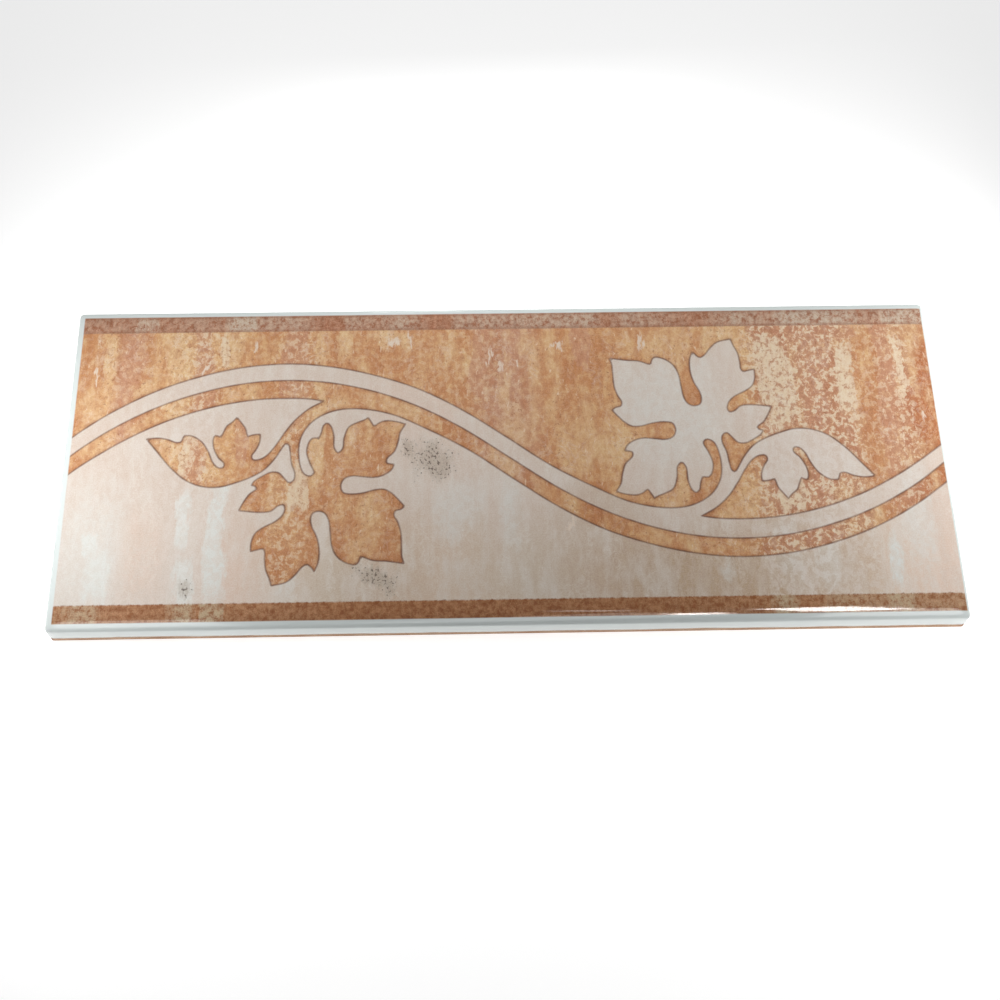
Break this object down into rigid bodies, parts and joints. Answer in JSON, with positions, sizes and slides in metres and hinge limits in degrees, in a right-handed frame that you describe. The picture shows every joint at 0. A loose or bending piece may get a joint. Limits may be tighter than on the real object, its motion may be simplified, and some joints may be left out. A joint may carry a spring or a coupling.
{
  "type": "border tile",
  "caption": "Flat oblong glazed ceramic wall border tile with softly rolled face edges, printed with a running leaf scroll, and a keyed back for adhesive.",
  "frame": {"origin": "middle of the back, on the plane of the lands that the tile is bedded on", "axes": "+X along the border, +Y towards the border's upper long edge, +Z out of the glazed face"},
  "size_m": [0.2, 0.08, 0.007],
  "materials": {
    "glazed_tile": "gloss glaze over an orange and pale stone print",
    "biscuit": "unglazed fired clay"
  },
  "bodies": {
    "root": {"border_tile": "glazed_tile"}
  },
  "joints": []
}
